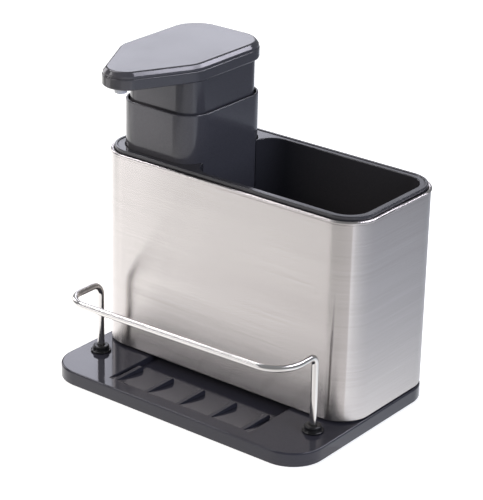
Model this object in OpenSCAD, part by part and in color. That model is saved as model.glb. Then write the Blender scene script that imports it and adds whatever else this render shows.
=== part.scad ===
// Sink caddy with a pump soap bottle, a brush bin and a draining sponge tray.
// Millimetres. X runs across the front, Y to the back, Z up, origin under the tray's centre.

/* [Tray] */
// Width of the tray, side to side
tray_w = 180; // [172:1:196]
// Depth of the tray, front to back
tray_d = 128; // [122:1:140]
// Corner radius of the tray in plan
tray_corner_r = 20; // [16:1:24]
// Height of the tray's side
tray_h = 8.1; // [7.6:0.1:10]
// Rounding of the tray's top edge
tray_edge_r = 0.8; // [0.4:0.1:1.2]
// Thickness of the tray's outer wall
tray_wall = 2.4; // [1.8:0.1:3.2]
// Thickness of the tray's deck
deck_t = 2.2; // [1.8:0.1:2.6]
// Thickness of the ribs under the deck
under_rib_t = 1.6; // [1.2:0.1:2.4]
// Width of the draining recess
drain_w = 100; // [96:1:108]
// Depth of the recess where it goes under the body
drain_drop = 3.2; // [2:0.1:3.6]
// Distance from the tray's front edge to the start of the recess
drain_front = 10; // [8:0.5:14]
// How far the recess runs on under the body
drain_reach = 60; // [56:1:64]
// Thickness of the recess floor
drain_floor_t = 2; // [1.6:0.1:2.2]
// Number of level ribs that carry the sponge
rib_count = 5; // [3:1:5]
// Spacing of those ribs
rib_pitch = 23.2; // [18:0.1:23.6]
// Width of a rib
rib_w = 2.4; // [1.6:0.1:4]
// Length of a rib
rib_l = 22; // [14:0.5:24]

/* [Feet] */
// Diameter of a foot pad
foot_d = 14; // [10:0.5:15]
// Thickness of a foot pad
foot_t = 1.8; // [1.4:0.1:2.4]
// How far a foot pad stands below the tray
foot_proud = 0.6; // [0.4:0.1:1]
// Distance of a foot's centre from the tray's sides
foot_inset = 18; // [17:0.5:20]

/* [Rail] */
// Diameter of the rail's wire
wire_d = 4; // [3:0.1:4.4]
// Height of the wire's centre above the deck
rail_rise = 43.4; // [30:0.2:55]
// Distance of a post from the tray's side
post_inset_x = 14; // [13:0.5:15]
// Distance of the posts from the tray's front edge
post_inset_y = 32.5; // [30:0.5:35]
// Distance of the front bar's centre from the tray's front edge
bar_inset = 2.8; // [2.4:0.1:6]
// Bend radius of the rail's front corners
rail_corner_r = 13; // [8:0.5:16]
// Bend radius at the top of a post
rail_bend_r = 5; // [4:0.5:7]
// Diameter of a grommet's flange
grommet_d = 12; // [11:0.5:14]
// Diameter of a grommet's collar
grommet_collar_d = 9.4; // [8.8:0.1:10]
// Height of a grommet above the deck
grommet_h = 4; // [3:0.1:5]

/* [Body] */
// Width of the steel sleeve
body_w = 178.8; // [176:0.2:180]
// Depth of the steel sleeve
body_d = 83; // [80:0.5:86]
// Corner radius of the steel sleeve
body_corner_r = 18.5; // [17:0.5:20]
// Height of the steel sleeve
steel_h = 117.8; // [104:0.2:126]
// Thickness of the steel sheet
sheet_t = 0.5; // [0.4:0.1:0.7]
// Diameter of the rolled top hem
hem_d = 2.2; // [1.8:0.1:2.6]
// How far the hem stands proud of the sheet
hem_proud = 0.5; // [0.2:0.1:0.7]
// Width of the flange turned in at the bottom
flange_w = 3; // [2.4:0.1:3.4]
// Gap between the hem and the tray's back edge, seen from above
back_gap = 0.1; // [0.1:0.1:0.6]
// Shadow gap between the deck and the steel
plinth_gap = 0.8; // [0.6:0.1:1.2]

/* [Tub] */
// Height of the tub's rim above the steel
rim_rise = 1.7; // [1.2:0.1:3]
// Width of the tub's rim
rim_w = 4.4; // [4:0.1:4.8]
// Thickness of the rim
rim_t = 2; // [1.6:0.1:3]
// Height of the bead round the rim's outer edge
bead_h = 0.5; // [0.3:0.1:0.8]
// Width of that bead
bead_w = 1.5; // [1.2:0.1:1.8]
// Depth of the skirt inside the steel
skirt_h = 12; // [8:1:18]
// Thickness of the tub's walls
tub_wall = 2; // [1.6:0.1:2.2]
// Corner radius of the brush bin
bin_corner_r = 13; // [12:0.5:14]
// Height of the tub's floor above the base cap
floor_rise = 9.8; // [8:0.2:12]
// Height of the fence between bottle and bin
fence_h = 40; // [20:1:60]
// Diameter of a drain hole
drain_hole_d = 5; // [3:0.5:6]

/* [Base] */
// Height of the base cap's rim above the steel flange
cap_h = 2.5; // [2.2:0.1:3]
// Thickness of the base cap's plate
cap_t = 1.5; // [1.2:0.1:1.6]
// Diameter of a locating peg
peg_d = 7.6; // [6:0.2:8]
// Length of a locating peg below the deck
peg_l = 3; // [2:0.1:3.4]
// Diameter of a screw's shank
screw_d = 2.9; // [2.5:0.1:3.2]
// Length of a screw's shank
screw_l = 8; // [6:0.5:8.5]
// Diameter of a screw's head
screw_head_d = 6; // [5.4:0.1:6.4]

/* [Bottle] */
// Width of the bottle
bottle_w = 56; // [52:0.5:58]
// Depth of the bottle
bottle_d = 68.4; // [66:0.2:69]
// Corner radius of the bottle
bottle_corner_r = 14.5; // [14:0.5:16]
// Height of the bottle
bottle_h = 132.7; // [128:0.1:144]
// Wall of the bottle below the pump plate
bottle_wall = 2.2; // [2:0.1:2.6]
// Wall of the collar above the pump plate
collar_wall = 1.4; // [1.2:0.1:1.5]
// Depth of the collar
collar_h = 32; // [30:0.5:36]
// Thickness of the bottle's floor
bottle_floor_t = 2; // [1.6:0.1:3]

/* [Pump] */
// Thickness of the pump plate
plate_t = 2.6; // [2:0.1:3]
// Depth of the plug under the pump plate
plug_h = 9; // [7:0.5:12]
// Outer diameter of the threaded boss
boss_d = 26; // [24:0.5:28]
// Height of that boss
boss_h = 6.4; // [5:0.1:7]
// Bore of the pump housing
housing_bore = 13; // [12:0.5:14]
// Wall of the pump housing
housing_wall = 1.5; // [1.2:0.1:1.8]
// Length of the bore below the flange
bore_l = 48; // [46:1:52]
// Diameter of the inlet ball
inlet_ball_d = 5; // [4.6:0.1:5.2]
// Diameter of the outlet ball
outlet_ball_d = 4.5; // [4.2:0.1:4.8]
// Outer diameter of the dip tube
dip_d = 6; // [5:0.1:6.4]
// Outer diameter of the pump stem
stem_d = 8; // [7.6:0.1:8.4]
// Length of the piston
piston_l = 10; // [8:0.5:10.5]
// Wire of the return spring
spring_wire = 0.9; // [0.7:0.1:1]
// Turns of the return spring
spring_turns = 6; // [5:1:7]
// Stroke of the head
stroke = 14; // [10:0.5:14.5]

/* [Head] */
// Height of the head's top above the bottle's lip
head_rise = 31; // [30:0.5:36]
// Thickness of the head's lower band
band_h = 6.4; // [6:0.1:7.2]
// Thickness of the head's cover
cover_h = 3.6; // [3.2:0.1:4.2]
// Thickness of the cover's top skin
cover_skin = 1.8; // [1.4:0.1:2]
// How far the cover sits in from the band
cover_step = 0.5; // [0.3:0.1:0.8]
// Width of the cover's bevel
bevel_w = 2; // [1.2:0.1:2.4]
// Height of the cover's bevel
bevel_h = 1.3; // [0.8:0.1:1.6]
// Overhang of the head past the bottle at the sides and back
head_over = 2; // [1:0.1:2.4]
// Reach of the head's tip in front of the bottle
tip_reach = 37; // [32:0.5:42]
// Width of the tip before its corners are rounded
tip_w = 17.4; // [16:0.2:26]
// Length of the tapered nose
nose_l = 40.5; // [34:0.5:44]
// Corner radius of the head's back
head_back_r = 17.5; // [12:0.5:20]
// Corner radius where the nose begins
head_shoulder_r = 24.5; // [16:0.5:30]
// Corner radius of the tip
head_tip_r = 12; // [8:0.5:13]
// Wall of the head's band
band_wall = 1.8; // [1.4:0.1:2.2]
// Wall of the sleeve under the head
sleeve_wall = 1.4; // [1:0.1:1.8]
// Length of that sleeve
sleeve_l = 31.3; // [29:0.1:32]
// Gap between sleeve and collar
sleeve_gap = 1; // [0.6:0.1:1.4]
// Distance of the nozzle behind the tip
nozzle_setback = 9.5; // [8.5:0.5:14]
// Outer diameter of the nozzle
nozzle_d = 7; // [6:0.1:8]
// Length of the nozzle below the head
nozzle_l = 4.1; // [3:0.1:5]

/* [Hidden] */
$fn = 64;

charcoal = "#4b4b50";
graphite = "#35353a";
steel = "#c9c5c2";
rubber = "#232326";
natural = "#dcdcd6";

// Clearances between pieces
slide_fit = 0.3;
press_gap = 0.1;
run_fit = 0.05;
bottle_fit = 0.4;
seal_fit = 0.1;
ball_gap = 0.2;
eps = 0.01;

// Levels from the floor up
tray_z = foot_proud;
deck_z = tray_z + tray_h;
steel_z = deck_z + plinth_gap;
steel_top = steel_z + steel_h;
cap_z = steel_z + sheet_t;
cap_top = cap_z + cap_h;
tub_z = cap_top + floor_rise;
rim_z = steel_top + rim_rise;
bin_floor_z = tub_z + tub_wall;
bottle_z = bin_floor_z;
lip_z = bottle_z + bottle_h;
ledge_z = lip_z - collar_h;
plate_top = ledge_z + plate_t;
boss_top = plate_top + boss_h;
housing_gasket_t = 0.8;
housing_flange_z = boss_top + housing_gasket_t;
housing_flange_t = 1.4;
housing_top = housing_flange_z + housing_flange_t;
bore_z = housing_top - bore_l;
cage_t = 1.2;
head_top = lip_z + head_rise;
cover_z = head_top - cover_h;
band_z = cover_z - band_h;

// Outlines are [corner points, corner radii], counter-clockwise
function rect(w, d, r) =
    [[[-w / 2, -d / 2], [w / 2, -d / 2], [w / 2, d / 2], [-w / 2, d / 2]], [r, r, r, r]];
function unit(v) = v / norm(v);
function prev_i(o, i) = (i + len(o[0]) - 1) % len(o[0]);
function next_i(o, i) = (i + 1) % len(o[0]);
function dir_in(o, i) = unit(o[0][i] - o[0][prev_i(o, i)]);
function dir_out(o, i) = unit(o[0][next_i(o, i)] - o[0][i]);
function left(u) = [-u.y, u.x];
function turn(o, i) = acos(dir_in(o, i) * dir_out(o, i));
function arc_in(o, i) = o[0][i] - dir_in(o, i) * o[1][i] * tan(turn(o, i) / 2);
function arc_out(o, i) = o[0][i] + dir_out(o, i) * o[1][i] * tan(turn(o, i) / 2);
function arc_mid(o, i) = arc_in(o, i) + left(dir_in(o, i)) * o[1][i];
function grown(o, g) =
    [[for (i = [0 : len(o[0]) - 1])
        o[0][i] - (left(dir_in(o, i)) + left(dir_out(o, i))) * g / (1 + cos(turn(o, i)))],
     [for (r = o[1]) r + g]];

module fill(o) {
    polygon([for (i = [0 : len(o[0]) - 1]) each [arc_in(o, i), arc_out(o, i)]]);
    for (i = [0 : len(o[0]) - 1])
        translate(arc_mid(o, i)) circle(o[1][i]);
}

module block(o, h) {
    linear_extrude(h) fill(o);
}

module ring(o, wall, h) {
    difference() {
        block(o, h);
        translate([0, 0, -1]) block(grown(o, -wall), h + 2);
    }
}

// Carries a profile round an outline: x is outward from the outline, y is up
module edge(o) {
    for (i = [0 : len(o[0]) - 1]) {
        along = dir_out(o, i);
        run = o[0][next_i(o, i)] - o[0][i];
        length = norm(arc_in(o, next_i(o, i)) - arc_out(o, i));
        start = atan2(-dir_in(o, i).x, dir_in(o, i).y);
        translate(arc_mid(o, i))
            rotate(start) rotate_extrude(angle = turn(o, i)) translate([o[1][i], 0]) children();
        translate(arc_out(o, i) + along * length)
            rotate(atan2(run.y, run.x) - 90) rotate([90, 0, 0]) linear_extrude(length) children();
    }
}

// Block whose top edge is rounded with radius e
module rounded_top(o, h, e) {
    block(o, h - e);
    block(grown(o, -e), h);
    translate([0, 0, h - e]) edge(grown(o, -e)) intersection() {
        translate([-e / 2, 0]) square([e * 1.5, e]);
        union() {
            circle(e);
            translate([-e / 2, 0]) square([e / 2, e]);
        }
    }
}

// Tube round the Z axis
module tube(r_out, r_in, h) {
    difference() {
        cylinder(r = r_out, h = h);
        translate([0, 0, -1]) cylinder(r = r_in, h = h + 2);
    }
}

// Plan places and outlines
tray_o = rect(tray_w, tray_d, tray_corner_r);
body_o = rect(body_w, body_d, body_corner_r);
body_y = tray_d / 2 - back_gap - hem_proud - body_d / 2;
body_front = body_y - body_d / 2;
drain_y = -tray_d / 2 + drain_front;
rim_in = hem_d - hem_proud + press_gap;
rim_o = grown(body_o, -rim_in);
rim_x = body_w / 2 - rim_in;
rim_y = body_d / 2 - rim_in;
bottle_o = rect(bottle_w, bottle_d, bottle_corner_r);
well_o = grown(bottle_o, bottle_fit);
bottle_x = -rim_x + rim_w + bottle_fit + bottle_w / 2;
well_right = bottle_x + bottle_w / 2 + bottle_fit;
horn_lap = 0.8;
bin_left = well_right - horn_lap;
bin_right = rim_x - rim_w;
bin_o = rect(bin_right - bin_left, 2 * (rim_y - rim_w), bin_corner_r);
bin_x = (bin_left + bin_right) / 2;
fence_left = well_right + tub_wall;
cap_o = grown(body_o, -sheet_t - press_gap);
plinth_o = grown(body_o, -flange_w - slide_fit);

// Repeated places
post_x = tray_w / 2 - post_inset_x;
post_y = -tray_d / 2 + post_inset_y;
feet_at = [for (sx = [-1, 1], sy = [-1, 1])
    [sx * (tray_w / 2 - foot_inset), sy * (tray_d / 2 - foot_inset)]];
peg_in_x = 27.4;
peg_in_y = 21.5;
pegs_at = [for (sx = [-1, 1], sy = [-1, 1])
    [sx * (body_w / 2 - peg_in_x), sy * (body_d / 2 - peg_in_y)]];
screw_in_x = 15.4;
screw_in_y = 11.5;
screws_at = [for (sx = [-1, 1], sy = [-1, 1])
    [sx * (body_w / 2 - screw_in_x), sy * (body_d / 2 - screw_in_y)]];
drain_hole_in = 32.2;
drain_hole_pitch = 18;
drain_holes_at = [for (i = [0 : 2], sy = [-1, 1])
    [bin_left + drain_hole_in + drain_hole_pitch * i, drain_hole_pitch / 2 * sy]];

module at_all(places) {
    for (p = places) translate(p) children();
}

module in_body() {
    translate([0, body_y, 0]) children();
}

module at_bottle() {
    translate([bottle_x, body_y, 0]) children();
}

// The tray
socket_d = 7.6;
socket_wall = 1.8;
socket_z = tray_z + 1.8;
under_rib_in = 30;
under_rib_back = 42;

module drain_space(w, down, front, back) {
    translate([-w / 2, 0, 0]) rotate([90, 0, 90]) linear_extrude(w) polygon([
        [drain_y - front, deck_z - down],
        [body_front, deck_z - drain_drop - down],
        [body_front + drain_reach + back, deck_z - drain_drop - down],
        [body_front + drain_reach + back, deck_z + 1],
        [drain_y - front, deck_z + 1]]);
}

module underside() {
    under_h = tray_h - deck_t;
    difference() {
        translate([0, 0, tray_z - 1]) block(grown(tray_o, -tray_wall), under_h + 1);
        drain_space(drain_w + 2 * tray_wall, drain_floor_t, tray_wall, tray_wall);
        for (i = [-1.5 : 1.5])
            translate([i * (tray_w - 2 * under_rib_in) / 3 - under_rib_t / 2, -tray_d / 2, tray_z])
                cube([under_rib_t, tray_d, under_h]);
        for (y = [drain_y - tray_wall, tray_d / 2 - under_rib_back])
            translate([-tray_w / 2, y, tray_z]) cube([tray_w, under_rib_t, under_h]);
        at_all(feet_at) cylinder(d = foot_d + 2 * tray_wall, h = deck_z);
        at_all([[-post_x, post_y], [post_x, post_y]])
            cylinder(d = socket_d + 2 * socket_wall, h = deck_z);
        in_body() at_all(pegs_at) cylinder(d = peg_d + 2 * slide_fit + 2 * socket_wall, h = deck_z);
    }
}

module tray() {
    color(charcoal) {
        difference() {
            translate([0, 0, tray_z]) rounded_top(tray_o, tray_h, tray_edge_r);
            underside();
            drain_space(drain_w, 0, 0, 0);
            at_all(feet_at) translate([0, 0, tray_z - 1])
                cylinder(d = foot_d + 2 * press_gap, h = foot_t - foot_proud + 1);
            at_all([[-post_x, post_y], [post_x, post_y]])
                translate([0, 0, socket_z]) cylinder(d = socket_d, h = deck_z);
            in_body() at_all(pegs_at) translate([0, 0, deck_z - peg_l - slide_fit])
                cylinder(d = peg_d + 2 * slide_fit, h = deck_z);
        }
        for (i = [0 : rib_count - 1])
            translate([(i - (rib_count - 1) / 2) * rib_pitch, 0, 0]) drain_rib();
    }
}

// Tongue of the deck that stays level while the recess falls away beside it
module drain_rib() {
    fall = drain_drop * rib_l / (body_front - drain_y);
    root = drain_floor_t / 2;
    intersection() {
        translate([-rib_w, 0, 0]) rotate([90, 0, 90]) linear_extrude(2 * rib_w) polygon([
            [drain_y - root, deck_z - root],
            [drain_y + rib_l + 1, deck_z - fall - root],
            [drain_y + rib_l + 1, deck_z],
            [drain_y - root, deck_z]]);
        translate([0, 0, tray_z]) linear_extrude(tray_h + 1) {
            translate([-rib_w / 2, drain_y - 2 * root]) square([rib_w, rib_l + 2 * root - rib_w / 2]);
            translate([0, drain_y + rib_l - rib_w / 2]) circle(d = rib_w);
        }
    }
}

module tray_feet() {
    color(rubber) at_all(feet_at) cylinder(d = foot_d, h = foot_t);
}

// The rail
rail_z = deck_z + rail_rise;
bar_y = -tray_d / 2 + bar_inset;

module rail_half() {
    bend_z = rail_z - rail_bend_r;
    bend_y = post_y - rail_bend_r;
    corner_y = bar_y + rail_corner_r;
    corner_x = post_x - rail_corner_r;
    translate([post_x, post_y, socket_z + 0.2]) cylinder(d = wire_d, h = bend_z - socket_z - 0.2);
    translate([post_x, bend_y, bend_z]) rotate([90, 0, 90])
        rotate_extrude(angle = 90) translate([rail_bend_r, 0]) circle(d = wire_d);
    translate([post_x, bend_y, rail_z]) rotate([90, 0, 0]) cylinder(d = wire_d, h = bend_y - corner_y);
    translate([corner_x, corner_y, rail_z]) rotate(-90)
        rotate_extrude(angle = 90) translate([rail_corner_r, 0]) circle(d = wire_d);
    translate([0, bar_y, rail_z]) rotate([0, 90, 0]) cylinder(d = wire_d, h = corner_x);
}

module guard_rail() {
    color(steel) {
        rail_half();
        mirror([1, 0, 0]) rail_half();
    }
}

module rail_grommets() {
    flange_h = 1.2;
    neck_h = 3.4;
    round_r = 0.8;
    color(rubber) at_all([[-post_x, post_y], [post_x, post_y]]) translate([0, 0, deck_z])
        rotate_extrude() polygon(concat(
            [[wire_d / 2 + run_fit, -neck_h],
             [socket_d / 2 - press_gap, -neck_h],
             [socket_d / 2 - press_gap, 0],
             [grommet_d / 2, 0],
             [grommet_d / 2, flange_h],
             [grommet_collar_d / 2, flange_h]],
            [for (a = [0 : 30 : 90])
                [grommet_collar_d / 2 - round_r + round_r * cos(a), grommet_h - round_r + round_r * sin(a)]],
            [[wire_d / 2 + run_fit, grommet_h]]));
}

// The steel sleeve, rolled at the top and turned in at the bottom
module steel_sleeve() {
    color(steel) in_body() {
        translate([0, 0, steel_z]) ring(body_o, sheet_t, steel_h - hem_d / 2);
        translate([0, 0, steel_z]) ring(body_o, flange_w, sheet_t);
        translate([0, 0, steel_top - hem_d / 2])
            edge(grown(body_o, hem_proud - hem_d / 2)) circle(d = hem_d, $fn = 32);
    }
}

// The tub that lines the sleeve
module tub_walls() {
    at_well() translate([0, 0, tub_z]) block(grown(well_o, tub_wall), rim_z - tub_z);
    translate([bin_x, 0, tub_z]) block(grown(bin_o, tub_wall), rim_z - tub_z);
    translate([0, 0, rim_z - rim_t]) block(rim_o, rim_t);
    translate([0, 0, rim_z - skirt_h]) ring(rim_o, tub_wall, skirt_h);
    at_all(screws_at) translate([0, 0, cap_top])
        cylinder(d = screw_head_d + 2, h = floor_rise + eps);
}

module at_well() {
    translate([bottle_x, 0, 0]) children();
}

module tub_holes() {
    at_all(drain_holes_at) translate([0, 0, tub_z - 1]) cylinder(d = drain_hole_d, h = tub_wall + 2);
    at_all(screws_at) translate([0, 0, cap_top - 1])
        cylinder(d = screw_d + press_gap, h = floor_rise);
}

// Low wall between bottle and bin, let into the bin's walls
module fence() {
    lap = tub_wall / 2;
    intersection() {
        translate([bin_left - 2 * lap, -body_d / 2, bin_floor_z - lap])
            cube([fence_left - bin_left + 2 * lap, body_d, fence_h + lap]);
        translate([bin_x, 0, bin_floor_z - 2 * lap]) block(grown(bin_o, lap), fence_h + 4 * lap);
    }
}

module inner_tub() {
    color(charcoal) in_body() {
        difference() {
            union() {
                difference() {
                    tub_walls();
                    translate([bin_x, 0, bin_floor_z]) block(bin_o, rim_z);
                }
                fence();
            }
            at_well() translate([0, 0, bin_floor_z]) block(well_o, rim_z);
            tub_holes();
        }
        translate([0, 0, rim_z]) edge(grown(rim_o, -bead_w / 2 - bead_in)) rim_bead();
    }
}

bead_in = 0.1;

module rim_bead() {
    half = bead_w / 2;
    polygon([[-half, -rim_t / 2], [half, -rim_t / 2], [half, bead_h * 0.3], [half * 0.6, bead_h],
             [-half * 0.6, bead_h], [-half, bead_h * 0.3]]);
}

// The cap that closes the sleeve below and stands on the tray
screw_seat = deck_z + 2.2;
cap_rib_in = 34.4;
cap_rib_end = 8;
plinth_wall = 6;
boss_wall = 2;

module base_cap() {
    pad_d = screw_head_d + 2 * boss_wall;
    color(graphite) in_body() difference() {
        union() {
            translate([0, 0, cap_z]) block(cap_o, cap_t);
            translate([0, 0, cap_z]) ring(cap_o, tub_wall, cap_h);
            translate([0, 0, deck_z]) ring(plinth_o, plinth_wall, cap_z - deck_z + eps);
            at_all(screws_at) translate([0, 0, deck_z]) cylinder(d = pad_d, h = cap_top - deck_z);
            at_all(pegs_at) translate([0, 0, deck_z])
                cylinder(d = peg_d + 2 * boss_wall, h = cap_z - deck_z + eps);
            at_all(pegs_at) translate([0, 0, deck_z - peg_l]) cylinder(d = peg_d, h = peg_l + 1);
            for (sx = [-1, 1])
                translate([sx * (body_w / 2 - cap_rib_in), cap_rib_end - body_d / 2, cap_z])
                    cube([tub_wall, body_d - 2 * cap_rib_end, cap_h]);
        }
        at_all(screws_at) {
            translate([0, 0, deck_z - 1]) cylinder(d = screw_head_d + 1, h = screw_seat - deck_z + 1);
            cylinder(d = screw_d + 2 * slide_fit, h = cap_top + 1);
        }
        drain_window();
    }
}

module drain_window() {
    low = drain_holes_at[0];
    high = drain_holes_at[len(drain_holes_at) - 1];
    margin = drain_hole_d / 2 + 2;
    translate([low.x - margin, low.y - margin, 0])
        cube([high.x - low.x + 2 * margin, high.y - low.y + 2 * margin, cap_top + 1]);
}

module base_cap_screws() {
    head_h = 1.8;
    color(steel) in_body() at_all(screws_at) {
        translate([0, 0, screw_seat - head_h]) cylinder(d = screw_head_d, h = head_h);
        translate([0, 0, screw_seat - eps]) cylinder(d = screw_d, h = screw_l);
    }
}

// The bottle, with the collar that the head's sleeve runs in
module bottle() {
    foot_r = 1.5;
    foot_band = 5;
    lip_r = collar_wall / 2;
    color(charcoal, 0.98) at_bottle() difference() {
        union() {
            translate([0, 0, bottle_z + foot_r]) block(bottle_o, bottle_h - foot_r - lip_r);
            translate([0, 0, bottle_z]) block(grown(bottle_o, -foot_r), foot_r + 1);
            translate([0, 0, bottle_z + foot_r]) edge(grown(bottle_o, -foot_r)) intersection() {
                circle(foot_r);
                translate([0, -foot_r]) square(foot_r);
            }
            translate([0, 0, lip_z - lip_r]) edge(grown(bottle_o, -lip_r)) circle(lip_r, $fn = 24);
        }
        translate([0, 0, bottle_z + bottle_floor_t])
            block(grown(bottle_o, -bottle_wall), bottle_h);
        translate([0, 0, ledge_z]) block(grown(bottle_o, -collar_wall), collar_h - lip_r);
        translate([0, 0, bottle_z - 1]) block(grown(bottle_o, -foot_r - foot_band), 1.6);
    }
}

// The plate that closes the bottle under the collar
gasket_z = ledge_z - plug_h + 3;
gasket_h = 2.4;
gasket_t = 1.2;
plug_in = bottle_wall + 0.5;
hole_d = housing_bore + 2 * housing_wall + 0.6;

module pump_plate() {
    plug_wall = gasket_t + 1.4;
    color(graphite) at_bottle() {
        difference() {
            union() {
                translate([0, 0, ledge_z]) block(grown(bottle_o, -collar_wall - slide_fit), plate_t);
                translate([0, 0, ledge_z - plug_h]) ring(grown(bottle_o, -plug_in), plug_wall, plug_h + 1);
                translate([0, 0, ledge_z]) cylinder(d = boss_d, h = boss_top - ledge_z);
            }
            translate([0, 0, ledge_z - 1]) cylinder(d = hole_d, h = boss_top);
            translate([0, 0, gasket_z]) ring(bottle_o, bottle_wall + seal_fit + gasket_t, gasket_h);
        }
    }
}

module plate_gasket() {
    color(rubber) at_bottle() translate([0, 0, gasket_z])
        ring(grown(bottle_o, -bottle_wall - seal_fit), gasket_t, gasket_h);
}

module housing_gasket() {
    color(rubber) at_bottle() translate([0, 0, boss_top])
        tube((boss_d - 1) / 2, hole_d / 2, housing_gasket_t);
}

// The pump
housing_r = housing_bore / 2 + housing_wall;
chamber_r = inlet_ball_d / 2 + 0.7;
seat_r = inlet_ball_d / 2 - 0.9;
chamber_l = 8.4;
seat_z = bore_z - chamber_l;
neck_l = 12;
neck_z = seat_z - 1.4 - neck_l;
dip_r = dip_d / 2;

module pump_housing() {
    color(natural) at_bottle() rotate_extrude() polygon([
        [seat_r, seat_z],
        [chamber_r, seat_z + chamber_r - seat_r],
        [chamber_r, bore_z],
        [housing_bore / 2, bore_z],
        [housing_bore / 2, housing_top],
        [(boss_d - 1) / 2, housing_top],
        [(boss_d - 1) / 2, housing_flange_z],
        [housing_r, housing_flange_z],
        [housing_r, bore_z - housing_wall],
        [chamber_r + housing_wall, bore_z - housing_wall - 2],
        [chamber_r + housing_wall, seat_z],
        [dip_r + 1.6, seat_z - 1.6],
        [dip_r + 1.6, neck_z],
        [dip_r + press_gap, neck_z],
        [dip_r + press_gap, neck_z + neck_l],
        [seat_r, neck_z + neck_l]]);
}

module closure_ring() {
    top_t = 2;
    ring_r = boss_d / 2 + 2.5;
    color(graphite) at_bottle() difference() {
        translate([0, 0, plate_top + 0.6]) cylinder(r = ring_r, h = housing_top + top_t - plate_top - 0.6);
        translate([0, 0, plate_top]) cylinder(r = boss_d / 2 + 0.15, h = housing_top - plate_top);
        cylinder(r = housing_bore / 2 + 2, h = head_top);
    }
}

chaplet_l = 10.2;
chaplet_head_h = 2.8;
chaplet_z = housing_top - chaplet_l;

module chaplet() {
    color(natural) at_bottle() difference() {
        union() {
            translate([0, 0, chaplet_z]) cylinder(r = housing_bore / 2 - run_fit, h = chaplet_l);
            translate([0, 0, housing_top]) cylinder(r = housing_bore / 2 + 1.8, h = chaplet_head_h);
        }
        translate([0, 0, chaplet_z - 1]) cylinder(r = stem_d / 2 + run_fit, h = chaplet_l + chaplet_head_h + 2);
    }
}

module ball_cage() {
    color(natural) at_bottle() translate([0, 0, bore_z]) difference() {
        cylinder(r = housing_bore / 2 - press_gap, h = cage_t);
        for (a = [0 : 90 : 270])
            rotate(a) translate([2.6, 0, -1]) cylinder(d = 2.4, h = cage_t + 2, $fn = 32);
    }
}

module inlet_ball() {
    r = inlet_ball_d / 2;
    color(steel) at_bottle() translate([0, 0, seat_z - seat_r + r * sqrt(2) + ball_gap]) sphere(r);
}

module dip_tube() {
    foot_gap = 2;
    low = bottle_z + bottle_floor_t + foot_gap;
    color(natural) at_bottle() translate([0, 0, low])
        tube(dip_r, dip_r - 0.8, neck_z + neck_l - low - slide_fit);
}

// The moving stem hangs the piston under the chaplet
piston_z = chaplet_z - piston_l;
stem_flange_t = 2;
stem_z = piston_z - stem_flange_t;
socket_l = 8;
stem_drop = 6.3;
stem_top = band_z - stem_drop;
valve_r = outlet_ball_d / 2 + 0.65;
valve_seat_r = outlet_ball_d / 2 - 0.75;
valve_seat_z = stem_top - 4;

module pump_stem() {
    stem_bore = stem_d / 2 - 1.7;
    color(natural) at_bottle() rotate_extrude() polygon([
        [stem_bore, stem_z],
        [housing_bore / 2 - 1, stem_z],
        [housing_bore / 2 - 1, piston_z],
        [stem_d / 2, piston_z],
        [stem_d / 2, stem_top],
        [valve_r, stem_top],
        [valve_r, valve_seat_z + valve_r - valve_seat_r],
        [valve_seat_r, valve_seat_z],
        [valve_seat_r, valve_seat_z - 2],
        [stem_bore, valve_seat_z - 2 - (stem_bore - valve_seat_r)]]);
}

module piston() {
    lip = 0.6;
    wall_r = housing_bore / 2 - run_fit;
    hub_r = stem_d / 2 + run_fit;
    color(rubber) at_bottle() translate([0, 0, piston_z]) rotate_extrude() polygon([
        [hub_r, 0],
        [wall_r - lip, 0],
        [wall_r, lip],
        [wall_r, 2],
        [wall_r - lip, 2 + lip],
        [wall_r - lip, piston_l - 2 - lip],
        [wall_r, piston_l - 2],
        [wall_r, piston_l - lip],
        [wall_r - lip, piston_l],
        [hub_r, piston_l]]);
}

module outlet_ball() {
    r = outlet_ball_d / 2;
    color(steel) at_bottle()
        translate([0, 0, valve_seat_z - valve_seat_r + r * sqrt(2) + ball_gap]) sphere(r);
}

// Return spring: one tube along a helix, measured against itself
spring_r = housing_bore / 2 - 1.3;
spring_low = bore_z + cage_t + spring_wire / 2;
spring_high = stem_z - spring_wire / 2;
spring_steps = 14;
spring_sides = 6;
spring_rings = spring_turns * spring_steps;

function spring_at(i) =
    let (a = 360 * i / spring_steps)
    [spring_r * cos(a), spring_r * sin(a), spring_low + (spring_high - spring_low) * i / spring_rings];
function spring_ring(i) =
    let (a = 360 * i / spring_steps)
    [for (k = [0 : spring_sides - 1])
        let (b = 360 * k / spring_sides)
        spring_at(i) + spring_wire / 2 * [cos(b) * cos(a), cos(b) * sin(a), sin(b)]];
spring_gap = min([for (i = [0 : spring_rings - spring_steps])
    norm(spring_at(i + spring_steps) - spring_at(i))]) - spring_wire;
echo(spring_least_gap = spring_gap);

module return_spring() {
    n = spring_sides;
    last = spring_rings * n;
    color(steel) at_bottle() polyhedron(
        [for (i = [0 : spring_rings]) each spring_ring(i)],
        concat(
            [[for (k = [0 : n - 1]) k]],
            [[for (k = [n - 1 : -1 : 0]) last + k]],
            [for (i = [0 : spring_rings - 1], k = [0 : n - 1]) each [
                [i * n + k, (i + 1) * n + (k + 1) % n, i * n + (k + 1) % n],
                [i * n + k, (i + 1) * n + k, (i + 1) * n + (k + 1) % n]]]));
}

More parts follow.
